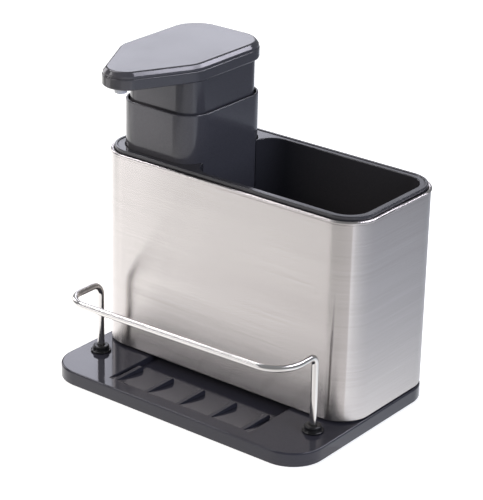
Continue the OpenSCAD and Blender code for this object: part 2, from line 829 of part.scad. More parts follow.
// The head that is pressed
head_half = bottle_w / 2 + head_over;
head_back = bottle_d / 2 + head_over;
head_front = -bottle_d / 2 - tip_reach;
head_o = [
    [[-head_half, head_front + nose_l], [-tip_w / 2, head_front], [tip_w / 2, head_front],
     [head_half, head_front + nose_l], [head_half, head_back], [-head_half, head_back]],
    [head_shoulder_r, head_tip_r, head_tip_r, head_shoulder_r, head_back_r, head_back_r]];
sleeve_o = grown(bottle_o, -collar_wall - sleeve_gap);
nozzle_y = head_front + nozzle_setback;
duct_r = 2.8;
duct_bore = 1.6;
duct_rise = 4.6;
duct_z = band_z + duct_rise;
spigot_r = 2.55;
stem_boss_r = 5.5;
floor_t = 1.6;

module head_shell() {
    color(graphite) at_bottle() difference() {
        union() {
            translate([0, 0, band_z]) block(head_o, band_h);
            translate([0, 0, band_z - sleeve_l]) block(sleeve_o, sleeve_l + 1);
        }
        translate([0, 0, band_z + floor_t]) block(grown(head_o, -band_wall), band_h);
        translate([0, 0, band_z - sleeve_l - 1]) block(grown(sleeve_o, -sleeve_wall), sleeve_l + 1);
        translate([0, 0, band_z - 1]) cylinder(r = stem_boss_r + press_gap, h = band_h);
        translate([0, nozzle_y, band_z - 1]) cylinder(r = spigot_r + press_gap, h = band_h);
    }
}

module head_cover() {
    cover_o = grown(head_o, -cover_step);
    lip_o = grown(head_o, -band_wall - press_gap);
    lip_t = 1.2;
    break_r = 0.4;
    color(charcoal) at_bottle() difference() {
        union() {
            translate([0, 0, cover_z]) hull() {
                block(cover_o, cover_h - bevel_h);
                block(grown(cover_o, -bevel_w + break_r), cover_h - break_r / 2);
                block(grown(cover_o, -bevel_w), cover_h);
            }
            translate([0, 0, cover_z - 1.4]) block(lip_o, 2);
        }
        translate([0, 0, cover_z - 2])
            block(grown(lip_o, -lip_t), cover_h - cover_skin + 2);
    }
}

module delivery_tube() {
    boss_z = stem_top - socket_l;
    cap_top_z = duct_z + duct_r + 0.3;
    spout_boss_z = band_z + floor_t;
    riser_r = duct_bore + 0.3;
    color(natural) at_bottle() difference() {
        union() {
            translate([0, 0, boss_z]) cylinder(r = stem_boss_r, h = cap_top_z - boss_z);
            translate([0, 0, duct_z]) rotate([90, 0, 0]) cylinder(r = duct_r, h = -nozzle_y);
            translate([0, nozzle_y, spout_boss_z])
                cylinder(r = spigot_r + 1.6, h = cap_top_z - spout_boss_z);
        }
        translate([0, 0, boss_z - 1]) cylinder(r = stem_d / 2 + run_fit, h = socket_l + 1.2);
        translate([0, 0, boss_z]) cylinder(r = valve_r, h = socket_l + 1.8);
        translate([0, 0, boss_z]) cylinder(r = riser_r, h = duct_z - boss_z);
        translate([0, riser_r / 2, duct_z]) rotate([90, 0, 0]) cylinder(r = duct_bore, h = riser_r / 2 - nozzle_y);
        translate([0, nozzle_y, 0]) cylinder(r = spigot_r + run_fit, h = duct_z);
    }
}

module spout_nozzle() {
    bore_r = 1.6;
    chamfer = 0.6;
    nozzle_r = nozzle_d / 2;
    color(natural) at_bottle() translate([0, nozzle_y, band_z]) rotate_extrude() polygon([
        [bore_r, -nozzle_l],
        [nozzle_r - chamfer, -nozzle_l],
        [nozzle_r, -nozzle_l + chamfer],
        [nozzle_r, 0],
        [spigot_r, 0],
        [spigot_r, duct_z - band_z - 1],
        [bore_r, duct_z - band_z - 1]]);
}

tray();
tray_feet();
guard_rail();
rail_grommets();
steel_sleeve();
inner_tub();
base_cap();
base_cap_screws();
bottle();
pump_plate();
plate_gasket();
housing_gasket();
pump_housing();
closure_ring();
chaplet();
ball_cage();
return_spring();
dip_tube();
inlet_ball();
outlet_ball();
pump_stem();
piston();
head_shell();
head_cover();
delivery_tube();
spout_nozzle();
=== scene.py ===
import math

import bpy
from mathutils import Matrix, Vector


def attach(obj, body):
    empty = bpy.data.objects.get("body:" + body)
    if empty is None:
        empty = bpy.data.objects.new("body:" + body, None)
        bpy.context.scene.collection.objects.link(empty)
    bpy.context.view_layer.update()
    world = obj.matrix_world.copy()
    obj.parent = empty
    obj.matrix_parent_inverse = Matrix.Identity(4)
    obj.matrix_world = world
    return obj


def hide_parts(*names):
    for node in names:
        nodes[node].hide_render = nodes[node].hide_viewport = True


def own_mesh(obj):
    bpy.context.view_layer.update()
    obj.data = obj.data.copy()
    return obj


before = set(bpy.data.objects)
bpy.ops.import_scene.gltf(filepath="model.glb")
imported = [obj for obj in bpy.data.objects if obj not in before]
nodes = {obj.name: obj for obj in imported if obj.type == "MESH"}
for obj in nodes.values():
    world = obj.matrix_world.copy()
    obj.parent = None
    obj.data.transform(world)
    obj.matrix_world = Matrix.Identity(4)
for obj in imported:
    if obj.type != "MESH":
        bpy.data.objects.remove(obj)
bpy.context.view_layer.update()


# ---- Tray -------------------------------------------------------------------------
# The base plate that stands on the counter: injection-moulded ABS with a high gloss.
# Its deck is cut away to a shallow draining recess whose five tongues stay level and
# carry the sponge; the underside is a thin shell with ribs, bosses and foot pockets.
def rounded(width, depth, radius, x=0.0, y=0.0):
    """The outline of a rectangle about x, y: its corners and the radius of each."""
    half_w, half_d = width / 2, depth / 2
    corners = [(x - half_w, y - half_d), (x + half_w, y - half_d),
               (x + half_w, y + half_d), (x - half_w, y + half_d)]
    return corners, [radius] * 4


def ring_of(outline, grow, z, steps):
    """Points of an outline with rounded corners, moved out by grow."""
    corners, radii = outline
    points = []
    for i, radius in enumerate(radii):
        here = Vector(corners[i])
        come = (here - Vector(corners[i - 1])).normalized()
        leave = (Vector(corners[(i + 1) % len(radii)]) - here).normalized()
        turn = math.acos(max(-1.0, min(1.0, come.dot(leave))))
        centre = here - come * radius * math.tan(turn / 2) + Vector((-come.y, come.x)) * radius
        start = math.atan2(-come.x, come.y)
        reach = max(radius + grow, 0.02)
        for k in range(steps + 1):
            a = start + turn * k / steps
            points.append((centre.x + reach * math.cos(a), centre.y + reach * math.sin(a), z))
    return points


def stack(rings, loop=False):
    """Skins a stack of rings: capped at both ends, or joined last to first."""
    count = len(rings[0])
    verts = [p for ring in rings for p in ring]
    faces = []
    for j in range(len(rings) if loop else len(rings) - 1):
        low, high = j * count, (j + 1) % len(rings) * count
        for i in range(count):
            n = (i + 1) % count
            faces.append((low + i, low + n, high + n, high + i))
    if not loop:
        faces.append(tuple(reversed(range(count))))
        faces.append(tuple(range((len(rings) - 1) * count, len(rings) * count)))
    return verts, faces


def swept(outline, profile, steps=14, loop=False):
    """Carries a profile of (outward, height) pairs round an outline."""
    return stack([ring_of(outline, g, z, steps) for g, z in profile], loop)


def turned(profile, x, y, steps=48, loop=False):
    """Turns a profile of (radius, height) pairs about an upright axis."""
    rings = []
    for r, z in profile:
        r = max(r, 0.01)
        rings.append([(x + r * math.cos(2 * math.pi * k / steps),
                       y + r * math.sin(2 * math.pi * k / steps), z) for k in range(steps)])
    return stack(rings, loop)


def prism_x(x_low, x_high, section):
    """A section of (y, z) points, anticlockwise seen from the right, carried along X."""
    return stack([[(x, y, z) for y, z in section] for x in (x_low, x_high)])


def box_of(x0, x1, y0, y1, z0, z1):
    """A plain block between two corners."""
    return prism_x(x0, x1, [(y0, z0), (y1, z0), (y1, z1), (y0, z1)])


def arc(cx, cy, radius, a0, a1, steps=6):
    """Points on an arc in a profile, angles in degrees."""
    out = []
    for k in range(steps + 1):
        a = math.radians(a0 + (a1 - a0) * k / steps)
        out.append((cx + radius * math.cos(a), cy + radius * math.sin(a)))
    return out


def shade(obj, angle=32):
    """Smooth shading with sharp edges above an angle; flat faces keep their own normal."""
    obj.data.shade_smooth()
    obj.data.set_sharp_from_angle(angle=math.radians(angle))
    even = obj.modifiers.new("even_normals", "WEIGHTED_NORMAL")
    even.keep_sharp = True
    even.weight = 60


def make(name, *shells, angle=32):
    """One object from closed shells of (points in mm, faces)."""
    verts, faces = [], []
    for points, polygons in shells:
        base = len(verts)
        verts += [(p[0] / 1000, p[1] / 1000, p[2] / 1000) for p in points]
        faces += [tuple(base + i for i in f) for f in polygons]
    mesh = bpy.data.meshes.new(name)
    mesh.from_pydata(verts, [], faces)
    mesh.validate()
    obj = bpy.data.objects.new(name, mesh)
    bpy.context.scene.collection.objects.link(obj)
    if angle:
        shade(obj, angle)
    return obj


def combine(obj, other, how):
    """Cuts, joins or intersects one closed mesh with another, and drops the other."""
    tool = obj.modifiers.new("combine", "BOOLEAN")
    tool.operation = how
    tool.solver = "EXACT"
    tool.use_self = True
    tool.object = other
    result = bpy.data.meshes.new_from_object(
        obj.evaluated_get(bpy.context.evaluated_depsgraph_get()))
    obj.modifiers.clear()
    obj.data = result
    bpy.data.objects.remove(other)


def add(tree, kind, links=None, **settings):
    """Adds a shader node; links gives each input its value or the socket that feeds it."""
    node = tree.nodes.new("ShaderNode" + kind)
    for key, value in settings.items():
        setattr(node, key, value)
    for key, value in (links or {}).items():
        if isinstance(value, bpy.types.NodeSocket):
            tree.links.new(value, node.inputs[key])
        else:
            node.inputs[key].default_value = value
    return node


def colour(hex_value):
    """sRGB hex to the linear values that a shader takes."""
    parts = [int(hex_value[i:i + 2], 16) / 255 for i in (1, 3, 5)]
    return tuple(c / 12.92 if c <= 0.04045 else ((c + 0.055) / 1.055) ** 2.4
                 for c in parts) + (1.0,)


def new_material(name):
    """A material and its empty node tree."""
    mat = bpy.data.materials.new(name)
    mat.use_nodes = True
    mat.node_tree.nodes.clear()
    return mat, mat.node_tree


def noise(tree, feature_mm, detail, roughness=0.5):
    """Noise whose features have a real size on the object."""
    return add(tree, "TexNoise", {
        "Vector": add(tree, "TexCoord").outputs["Object"], "Scale": 1000 / feature_mm,
        "Detail": detail, "Roughness": roughness})


def ranged(tree, source, low=0.0, high=1.0):
    """Spreads a noise, which lies mostly between 0.3 and 0.7, over a range of values."""
    return add(tree, "MapRange", {
        "Value": source.outputs["Fac"], "From Min": 0.3, "From Max": 0.7,
        "To Min": low, "To Max": high}).outputs["Result"]


def blended(tree, share, low, high):
    """A colour between two given as hex."""
    return add(tree, "Mix", {"Factor": share, "A": colour(low), "B": colour(high)},
               data_type="RGBA").outputs["Result"]


def bumped(tree, height, depth_mm, **under):
    """A bump of a real depth; under can name the Normal that it lies on."""
    return add(tree, "Bump", {"Height": height, "Distance": depth_mm / 1000, **under}
               ).outputs["Normal"]


def surface(tree, sockets):
    """Ends a material's tree in one shader."""
    shader = add(tree, "BsdfPrincipled", sockets)
    add(tree, "OutputMaterial", {"Surface": shader.outputs["BSDF"]})


def moulded_abs(name, low, high, rough, ripple_mm, wave_mm=9.0, ior=1.53):
    """Gloss ABS from a polished mould. The eye gets a clear reflection, bent a little by the
    shrinkage of the moulding, under a faint haze of handling that varies the gloss."""
    mat, tree = new_material(name)
    sink = noise(tree, wave_mm, 1.0)
    haze = noise(tree, 26.0, 4.0, 0.6)
    # Pigment grain is about 0.1 mm on the real part, drawn at 0.5 mm so that it shows
    grain = noise(tree, 0.5, 2.0)
    sunk = bumped(tree, sink.outputs["Fac"], ripple_mm)
    surface(tree, {"Base Color": blended(tree, ranged(tree, grain), low, high),
                   "Roughness": ranged(tree, haze, *rough), "IOR": ior,
                   "Normal": bumped(tree, grain.outputs["Fac"], 0.0004, Normal=sunk)})
    return mat


tray_outline = rounded(180, 128, 20)
tray_low, deck = 0.6, 8.7
tray = make("tray_moulding", swept(
    tray_outline,
    [(-0.45, tray_low), (-0.12, tray_low + 0.1), (0, tray_low + 0.4)]
    + arc(-1.1, deck - 1.1, 1.1, 0, 90, 9), 20), angle=0)
combine(tray, make("tray_hollow", swept(tray_outline, [(-2.2, -1), (-2.4, 6.5)], 20), angle=0),
        "DIFFERENCE")
# The pan and the ribs below the deck run up into its 2.2 mm plate, to this height
root = 7.6
combine(tray, make("recess_pan", prism_x(-52.4, 52.4, [
    (-56.4, 6.7), (-19.6, 3.5), (42.8, 3.5), (42.8, root), (-56.4, root)]), angle=0), "UNION")
recess = make("recess_space", swept(
    rounded(100, 96.8, 2.5, 0, -8), [(-0.15, 2), (0, deck - 0.5)]
    + arc(0.5, deck - 0.5, 0.5, 180, 90, 5) + [(0.5, 14)], 6), angle=0)
fall_front, fall_run, fall_depth, fall_steps = -56.2, 36.6, 3.25, 16
fall = [(fall_front + fall_run * k / fall_steps,
         deck + 0.06 - fall_depth * (1 - (1 - k / fall_steps) ** 1.9))
        for k in range(fall_steps + 1)]
combine(recess, make("recess_floor", prism_x(
    -60, 60, fall + [(60, 5.5), (60, 20), (fall_front, 20)]), angle=0), "INTERSECT")
tongue_pitch, tongue_half, tongue_end = 22.7, 1.2, 1.9
for i in range(5):
    x = (i - 2) * tongue_pitch - 0.6
    combine(recess, make("tongue", prism_x(
        x - tongue_half, x + tongue_half, [(-60, 1), (-33, 1)]
        + arc(-33.6, deck - tongue_end, tongue_end, 0, 90, 8) + [(-60, deck)]), angle=0),
            "DIFFERENCE")
combine(tray, recess, "DIFFERENCE")
body_y = 21.9
peg_places = [(sx * 62, body_y + sy * 20) for sx in (-1, 1) for sy in (-1, 1)]
combine(tray, make("peg_sockets", *[turned([(4.1, 6), (4.1, 8.3), (4.5, 8.7), (4.5, 12)], x, y)
                                    for x, y in peg_places], angle=0), "DIFFERENCE")
foot_places = [(sx * 72, sy * 46) for sx in (-1, 1) for sy in (-1, 1)]
post_x, post_y, post_shift = 76, -32.1, -0.8
post_places = [(side * post_x + post_shift, post_y) for side in (-1, 1)]
rib_half, rib_end, pan_root = 0.8, 61.8, 4.5
under = [box_of(x - rib_half, x + rib_half, -rib_end, rib_end, tray_low, root) for x in (-60, 60)]
under += [prism_x(x - rib_half, x + rib_half, [
    (-rib_end, tray_low), (rib_end, tray_low), (rib_end, root), (41.6, root), (41.6, pan_root),
    (-19.6, pan_root), (-55.8, root), (-rib_end, root)]) for x in (-20, 20)]
under += [box_of(-80.2, 80.2, -58, -56.4, tray_low, 7.4),
          box_of(-52, 52, 22, 23.6, tray_low, pan_root)]
under += [box_of(x0, x1, 22, 23.6, tray_low, root) for x0, x1 in ((-87.8, -51), (51, 87.8))]
under += [turned([(7.1, tray_low), (9.4, tray_low), (9.4, root), (0, root)], x, y)
          for x, y in foot_places]
under += [turned([(0, tray_low), (5.6, tray_low), (5.6, root), (0, root)], x, y)
          for x, y in post_places]
under += [turned([(0, tray_low), (5.9, tray_low), (5.9, root), (4.15, root), (4.15, 5.1),
                  (0, 5.1)], x, y) for x, y in peg_places]
ribs = make("tray_ribs", *under)
shade(tray)
tray_abs = moulded_abs("charcoal_gloss_abs_tray", "#34343c", "#393942", (0.07, 0.12), 0.004,
                       ior=1.45)
for part in (tray, ribs):
    part.data.materials.clear()
    part.data.materials.append(tray_abs)
    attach(part, "base")
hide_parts("tray")


# ---- Feet -------------------------------------------------------------------------
# Four die-cut pads of solid rubber, glued into pockets under the tray's corners.
# The edge is broken by the cutting, and a shallow groove keeps each pad from creeping.
def soft_rubber(name, hex_value, rough, grain_mm=0.6, depth_mm=0.012):
    """Matt moulded rubber. The eye gets a soft, wide highlight over a fine tooth."""
    mat, tree = new_material(name)
    tooth = noise(tree, grain_mm, 3.0)
    dust = noise(tree, 6.0, 3.0)
    surface(tree, {"Base Color": colour(hex_value), "IOR": 1.5,
                   "Roughness": ranged(tree, dust, rough - 0.06, rough + 0.08),
                   "Normal": bumped(tree, tooth.outputs["Fac"], depth_mm)})
    return mat


feet = make("foot_pads", *[turned(
    [(0, 0.02), (4.2, 0.02), (4.4, 0.3), (4.9, 0.3), (5.1, 0.02), (6.6, 0.02), (6.9, 0.12),
     (7.0, 0.4), (7.0, 1.8), (0, 1.8)], x, y) for x, y in foot_places])
feet.data.materials.append(soft_rubber("die_cut_black_rubber", "#1d1d1f", 0.62))
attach(feet, "base")
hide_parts("tray_feet")


# ---- Guard rail -------------------------------------------------------------------
# One length of 4 mm stainless wire, bent four times and electropolished, then pushed
# into the tray's two sockets through the grommets. The photograph shows it bent by hand:
# its bar is higher at the right end, and the bends differ from side to side.
def polished_stainless(name):
    """Electropolished stainless. The eye gets a near mirror, slightly clouded by what the
    polishing leaves of the die lines."""
    mat, tree = new_material(name)
    cloud = noise(tree, 5.0, 3.0)
    surface(tree, {"Base Color": colour("#dedbd8"), "Metallic": 1.0,
                   "Roughness": ranged(tree, cloud, 0.13, 0.2),
                   "Normal": bumped(tree, cloud.outputs["Fac"], 0.002)})
    return mat


def wire(path, radius, sides=28):
    """A round wire along points: each ring stands square to the path, with no twist."""
    path = [Vector(p) for p in path]
    side, rings = None, []
    for i, here in enumerate(path):
        along = (path[min(i + 1, len(path) - 1)] - path[max(i - 1, 0)]).normalized()
        if side is None:
            side = Vector((1, 0, 0)) if abs(along.x) < 0.9 else Vector((0, 1, 0))
        side = (side - along * side.dot(along)).normalized()
        other = along.cross(side)
        end = i in (0, len(path) - 1)
        rings.append([tuple(here + (side * math.cos(2 * math.pi * k / sides)
                                    + other * math.sin(2 * math.pi * k / sides))
                            * radius * (0.8 if end else 1)) for k in range(sides)])
    return stack(rings)


def half_rail(side, height, top_r, bar_r):
    """The wire's middle line from a post's foot over its top bend to the end of the bar."""
    bar_y = -61.8
    path = [(post_x, post_y, 2.6), (post_x, post_y, 3.0)]
    path += [(post_x, post_y - top_r + y, height - top_r + z)
             for y, z in arc(0, 0, top_r, 0, 90, 10)]
    path += [(post_x - bar_r + x, bar_y + bar_r - y, height)
             for x, y in arc(0, 0, bar_r, 0, 90, 18)]
    return [(side * x + post_shift, y, z) for x, y, z in path]


rail = make("bent_wire_rail", wire(half_rail(1, 53.9, 5, 17)
                                   + half_rail(-1, 51.4, 7, 13)[::-1], 2.0), angle=50)
rail.data.materials.append(polished_stainless("electropolished_wire"))
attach(rail, "base")
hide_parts("guard_rail")


# ---- Grommets ---------------------------------------------------------------------
# Two moulded rubber bushes in the tray's sockets. Each has a thin flange on the deck and
# a domed collar that grips the wire; wiped rubber this small shines almost like plastic.
grommet = [(2.05, deck - 3.4), (3.7, deck - 3.4), (3.7, deck + 0.01), (5.7, deck + 0.01)]
grommet += arc(5.4, deck + 0.6, 0.6, -60, 90, 6) + [(5.0, deck + 1.15), (4.75, deck + 1.4)]
grommet += arc(3.9, deck + 3.1, 0.8, 0, 90, 6)
grommet += [(2.5, deck + 3.95), (2.2, deck + 3.7), (2.05, deck + 3.4)]
grommets = make("rail_grommets_soft", *[turned(grommet, x, y, 56, loop=True)
                                       for x, y in post_places], angle=45)
grommets.data.materials.append(soft_rubber("wiped_black_rubber", "#141416", 0.2, 1.4, 0.004))
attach(grommets, "base")
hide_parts("rail_grommets")


# ---- Steel sleeve -----------------------------------------------------------------
# The outer skin of the body: 0.5 mm stainless strip, brushed lengthwise, bent round the
# body and welded at the back. The top is rolled to a hem, the bottom turned in.
def brushed_stainless(name):
    """Stainless brushed along the strip. The eye gets reflections that stay sharp across
    the grain's line and smear up and down, with fine level streaks in tone and gloss."""
    mat, tree = new_material(name)
    place = add(tree, "TexCoord").outputs["Object"]
    # Belt marks are about 0.05 mm wide, drawn at 0.3 mm so that they show at this size
    streaks = add(tree, "Mapping", {"Vector": place, "Scale": (14, 14, 3600)})
    streak = add(tree, "TexNoise", {"Vector": streaks.outputs["Vector"], "Scale": 1.0,
                                    "Detail": 1.0, "Roughness": 0.5})
    bands = add(tree, "Mapping", {"Vector": place, "Scale": (9, 9, 160)})
    band = add(tree, "TexNoise", {"Vector": bands.outputs["Vector"], "Scale": 1.0,
                                  "Detail": 2.0})
    around = add(tree, "Tangent", direction_type="RADIAL", axis="Z")
    surface(tree, {"Base Color": blended(tree, ranged(tree, streak), "#cbc6c3", "#d2cdcb"),
                   "Metallic": 1.0, "Roughness": ranged(tree, band, 0.24, 0.27),
                   "Normal": bumped(tree, streak.outputs["Fac"], 0.0008),
                   "Anisotropic": 1.0, "Anisotropic Rotation": 0.25,
                   "Tangent": around.outputs["Tangent"]})
    return mat


body_outline = rounded(178.8, 83, 18.5, 0, body_y)
steel_low, steel_top = 9.5, 127.3
sheet = [(-3.0, steel_low)] + arc(-0.9, steel_low + 0.9, 0.9, -90, 0, 6)
sheet += [(0, 60), (0, steel_top - 2.5), (-0.1, steel_top - 2.15)]
sheet += arc(-0.6, steel_top - 1.1, 1.1, -32, 212, 26)
sheet += [(-0.55, steel_top - 2.5), (-0.5, 60)]
sheet += arc(-0.9, steel_low + 0.9, 0.4, 0, -90, 4) + [(-3.0, steel_low + 0.5)]
sleeve = make("steel_wrap", swept(body_outline, sheet, 28, loop=True), angle=50)
sleeve.data.materials.append(brushed_stainless("brushed_stainless_strip"))
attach(sleeve, "caddy")
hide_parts("steel_sleeve")


# ---- Inner tub --------------------------------------------------------------------
# One ABS moulding that lines the steel: a flat rim with a bead round its edge, a well
# for the bottle and a bin for brushes that run into each other, and a low fence between.
rim_outline = rounded(175.2, 79.4, 16.7, 0, body_y)
bottle_x = -54.8
well_outline = rounded(56.8, 69.2, 14.9, bottle_x, body_y)
bin_outline = rounded(110.4, 70.6, 13, 28, body_y)
rim_z, tub_z, bin_floor = 129.0, 22.3, 24.3
rim_profile = [(0, rim_z - 2), (0, rim_z - 0.3)] + arc(-0.4, rim_z + 0.05, 0.4, 0, 90, 4)
rim_profile += arc(-1.3, rim_z + 0.05, 0.4, 90, 150, 3) + [(-1.95, rim_z)]
tub = make("tub_liner", swept(rim_outline, rim_profile, 24), angle=0)
combine(tub, make("well_wall", swept(well_outline, [(2, tub_z), (2, rim_z - 1)], 16), angle=0),
        "UNION")
combine(tub, make("bin_wall", swept(
    bin_outline, [(1, tub_z), (2, tub_z + 1), (2, rim_z - 1.05)], 16), angle=0), "UNION")
bin_space = make("bin_space", swept(
    bin_outline, [(-3, bin_floor)] + arc(-3, bin_floor + 3, 3, -75, 0, 6)
    + [(0, rim_z - 0.6)] + arc(0.6, rim_z - 0.6, 0.6, 180, 90, 5)
    + [(0.6, rim_z + 8)], 20), angle=0)
fence_h = 40
combine(bin_space, make("fence_space", box_of(-40, -24.4, -30, 80, 10, bin_floor + fence_h),
                        angle=0), "DIFFERENCE")
combine(tub, bin_space, "DIFFERENCE")
combine(tub, make("well_space", swept(
    well_outline, [(0, bin_floor), (0, rim_z - 0.4)] + arc(0.4, rim_z - 0.4, 0.4, 180, 90, 4)
    + [(0.4, rim_z + 8)], 20), angle=0), "DIFFERENCE")
hole_places = [(5 + 18 * i, body_y + 9 * sy) for i in range(3) for sy in (-1, 1)]
combine(tub, make("drain_holes", *[turned([(2.5, 20), (2.5, 23.9), (2.9, 24.3), (2.9, 27)], x, y)
                                   for x, y in hole_places], angle=0), "DIFFERENCE")
screw_places = [(sx * 74, body_y + sy * 30) for sx in (-1, 1) for sy in (-1, 1)]
skirt_low, boss_low, boss_top = rim_z - 12, 12.5, 23
skirt = make("tub_skirt", swept(rim_outline, [
    (-2, skirt_low), (0, skirt_low), (0, rim_z - 1.5), (-2, rim_z - 1.5)], 24, loop=True),
             *[turned([(1.5, boss_low), (4, boss_low), (4, boss_top), (1.5, boss_top)], x, y,
                      loop=True) for x, y in screw_places])
shade(tub, 28)
tub_abs = moulded_abs("charcoal_satin_abs_tub", "#333337", "#38383c", (0.12, 0.2), 0.003)
for part in (tub, skirt):
    part.data.materials.clear()
    part.data.materials.append(tub_abs)
    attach(part, "caddy")
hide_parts("inner_tub")


# ---- Base cap and screws ----------------------------------------------------------
# A moulded plate closes the body below, held by four zinc-plated self-tapping screws.
# It is never seen in use, so its mould was left with a spark-eroded, matt grain.
def dress(names, mat):
    """Gives CAD nodes a material of their own."""
    for name in names:
        for slot in nodes[name].material_slots:
            slot.material = mat


def eroded_plastic(name, low, high, rough=0.5, grain_mm=0.8, depth_mm=0.02):
    """Plastic from a spark-eroded mould. The eye gets an even matt grain."""
    mat, tree = new_material(name)
    place = add(tree, "TexCoord").outputs["Object"]
    pits = add(tree, "TexVoronoi", {"Vector": place, "Scale": 1000 / grain_mm})
    tone = noise(tree, 12.0, 3.0)
    surface(tree, {"Base Color": blended(tree, tone.outputs["Fac"], low, high),
                   "Roughness": rough, "IOR": 1.5,
                   "Normal": bumped(tree, pits.outputs["Distance"], depth_mm)})
    return mat


def drawn_metal(name, hex_value, rough, line_mm=0.3):
    """Drawn or plated steel. The eye gets a bright, slightly lined highlight."""
    mat, tree = new_material(name)
    lines = noise(tree, line_mm, 2.0)
    surface(tree, {"Base Color": colour(hex_value), "Metallic": 1.0,
                   "Roughness": ranged(tree, lines, rough - 0.06, rough + 0.06),
                   "Normal": bumped(tree, lines.outputs["Fac"], 0.002)})
    return mat


dress(["base_cap"], eroded_plastic("spark_grained_black_pp", "#1f1f21", "#28282b"))
dress(["base_cap_screws"], drawn_metal("zinc_plated_steel", "#b4b2aa", 0.34))


# ---- Bottle -----------------------------------------------------------------------
# The soap reservoir: a deep ABS moulding that drops into the tub. Its thin collar stands
# over the pump plate's ledge, and the lip is rounded where the head's sleeve runs in.
bottle_outline = rounded(56, 68.4, 14.5, bottle_x, body_y)
bottle_low, ledge, lip = 24.3, 125.0, 157.0
bottle_profile = [(-6.5, bottle_low)] + arc(-1.5, bottle_low + 1.5, 1.5, -90, 0, 6)
bottle_profile += [(0, 90)] + arc(-0.7, lip - 0.7, 0.7, 0, 180, 12)
bottle_profile += [(-1.4, ledge + 0.2), (-1.55, ledge), (-2.1, ledge), (-2.2, ledge - 0.2)]
bottle_profile += [(-2.2, 60), (-2.2, bottle_low + 4)]
bottle_profile += arc(-4.2, bottle_low + 4, 2, 0, -90, 5)
bottle = make("bottle_moulding", swept(bottle_outline, bottle_profile, 22), angle=40)
bottle.data.materials.append(moulded_abs("charcoal_gloss_abs_bottle", "#48484d", "#4f4f54",
                                         (0.1, 0.17), 0.005, 12.0))
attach(bottle, "bottle_body")
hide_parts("bottle")


# ---- Pump -------------------------------------------------------------------------
# A lotion pump on a lift-out plate. The plate and the ring that clamps it are black,
# the working parts are uncoloured polypropylene, and seals and piston are soft rubber.
def milky_pp(name, hex_value="#dcdcd6", rough=0.34):
    """Uncoloured polypropylene. The eye gets a waxy, slightly see-through white."""
    mat, tree = new_material(name)
    flow = noise(tree, 4.0, 3.0)
    surface(tree, {"Base Color": colour(hex_value), "IOR": 1.49,
                   "Roughness": ranged(tree, flow, rough - 0.05, rough + 0.06),
                   "Subsurface Weight": 0.25, "Subsurface Radius": (1.0, 0.95, 0.9),
                   "Subsurface Scale": 0.0012,
                   "Normal": bumped(tree, flow.outputs["Fac"], 0.006)})
    return mat


dress(["pump_plate", "closure_ring"], eroded_plastic("satin_black_pp", "#242427", "#2c2c30",
                                                    0.38, 0.6, 0.008))
dress(["pump_housing", "chaplet", "ball_cage", "dip_tube", "pump_stem", "delivery_tube"],
      milky_pp("natural_pp_moulding"))
dress(["plate_gasket", "housing_gasket", "piston"],
      soft_rubber("black_seal_rubber", "#202022", 0.5))
dress(["inlet_ball", "outlet_ball"], drawn_metal("ground_stainless_ball", "#cfcecb", 0.14, 1.0))


# ---- Return spring ----------------------------------------------------------------
# A coil of 0.9 mm hard stainless wire under the stem, six turns, with its ends left
# square. It shortens with the stroke; the piece is drawn at one length.
spring_low, spring_high, spring_r, spring_wire_r = 89.85, 113.55, 5.2, 0.44
turns, turn_steps = 6, 40
spring_path = []
for i in range(turns * turn_steps + 1):
    a = 2 * math.pi * i / turn_steps
    spring_path.append((bottle_x + spring_r * math.cos(a), body_y + spring_r * math.sin(a),
                        spring_low + (spring_high - spring_low) * i / (turns * turn_steps)))
spring = make("coil_spring", wire(spring_path, spring_wire_r, 12), angle=60)
spring.data.materials.append(drawn_metal("drawn_spring_wire", "#b9b7b3", 0.26))
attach(spring, "pump")
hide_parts("return_spring")
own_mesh(spring)


# ---- Head -------------------------------------------------------------------------
# The pressed head: a lower pan with the sleeve that runs in the bottle's collar, and a
# glued cover with a bevelled edge. Both are gloss ABS; their seam shows as a fine step.
head_corners = [(-83.7, -8.5), (-62.4, -48.9), (-46.6, -48.9), (-25.3, -8.5), (-25.3, 57.0),
                (-83.7, 57.0)]
head_outline = (head_corners, [20, 13, 13, 20, 18.5, 18.5])
band_z, cover_z, head_top = 177.6, 184.0, 187.6
pan_floor, nozzle_y = band_z + 1.6, -39.8
pan_profile = [(-6, band_z), (-1.0, band_z)] + arc(-1.0, band_z + 1.0, 1.0, -85, 0, 10)
pan_profile += arc(-0.8, cover_z - 0.82, 0.8, 0, 90, 8)
pan_profile += [(-1.8, cover_z - 0.02), (-1.8, pan_floor), (-6, pan_floor)]
head_pan = make("head_pan", swept(head_outline, pan_profile, 22), angle=0)
sleeve_low, sleeve_top = band_z - 31.0, band_z + 0.8
combine(head_pan, make("runner", swept(rounded(51.2, 63.6, 12.1, bottle_x, body_y), [
    (-1.4, sleeve_low), (-0.4, sleeve_low), (0, band_z - 30.6), (0, sleeve_top),
    (-1.4, sleeve_top)], 20, loop=True), angle=0), "UNION")
combine(head_pan, make("pan_holes", *[
    turned([(radius, band_z - 1), (radius, band_z + 3)], bottle_x, y)
    for radius, y in ((5.6, body_y), (2.65, nozzle_y))], angle=0), "DIFFERENCE")
shade(head_pan, 35)
cover_profile = [(-4.2, head_top - 1.8), (-4.2, 182.8), (-1.9, 182.8), (-1.9, cover_z),
                 (-0.75, cover_z)] + arc(-0.75, cover_z + 0.2, 0.2, -60, 0, 3)
cover_profile += arc(-0.85, cover_z + 1.25, 0.3, 0, 41, 4)
cover_profile += arc(-3.15, head_top - 1.7, 1.7, 41, 90, 12)
cover = make("head_cover_bevelled", swept(head_outline, cover_profile, 24), angle=24)
head_abs = moulded_abs("charcoal_gloss_abs_head", "#454549", "#4b4b50", (0.1, 0.16), 0.003, 20.0)
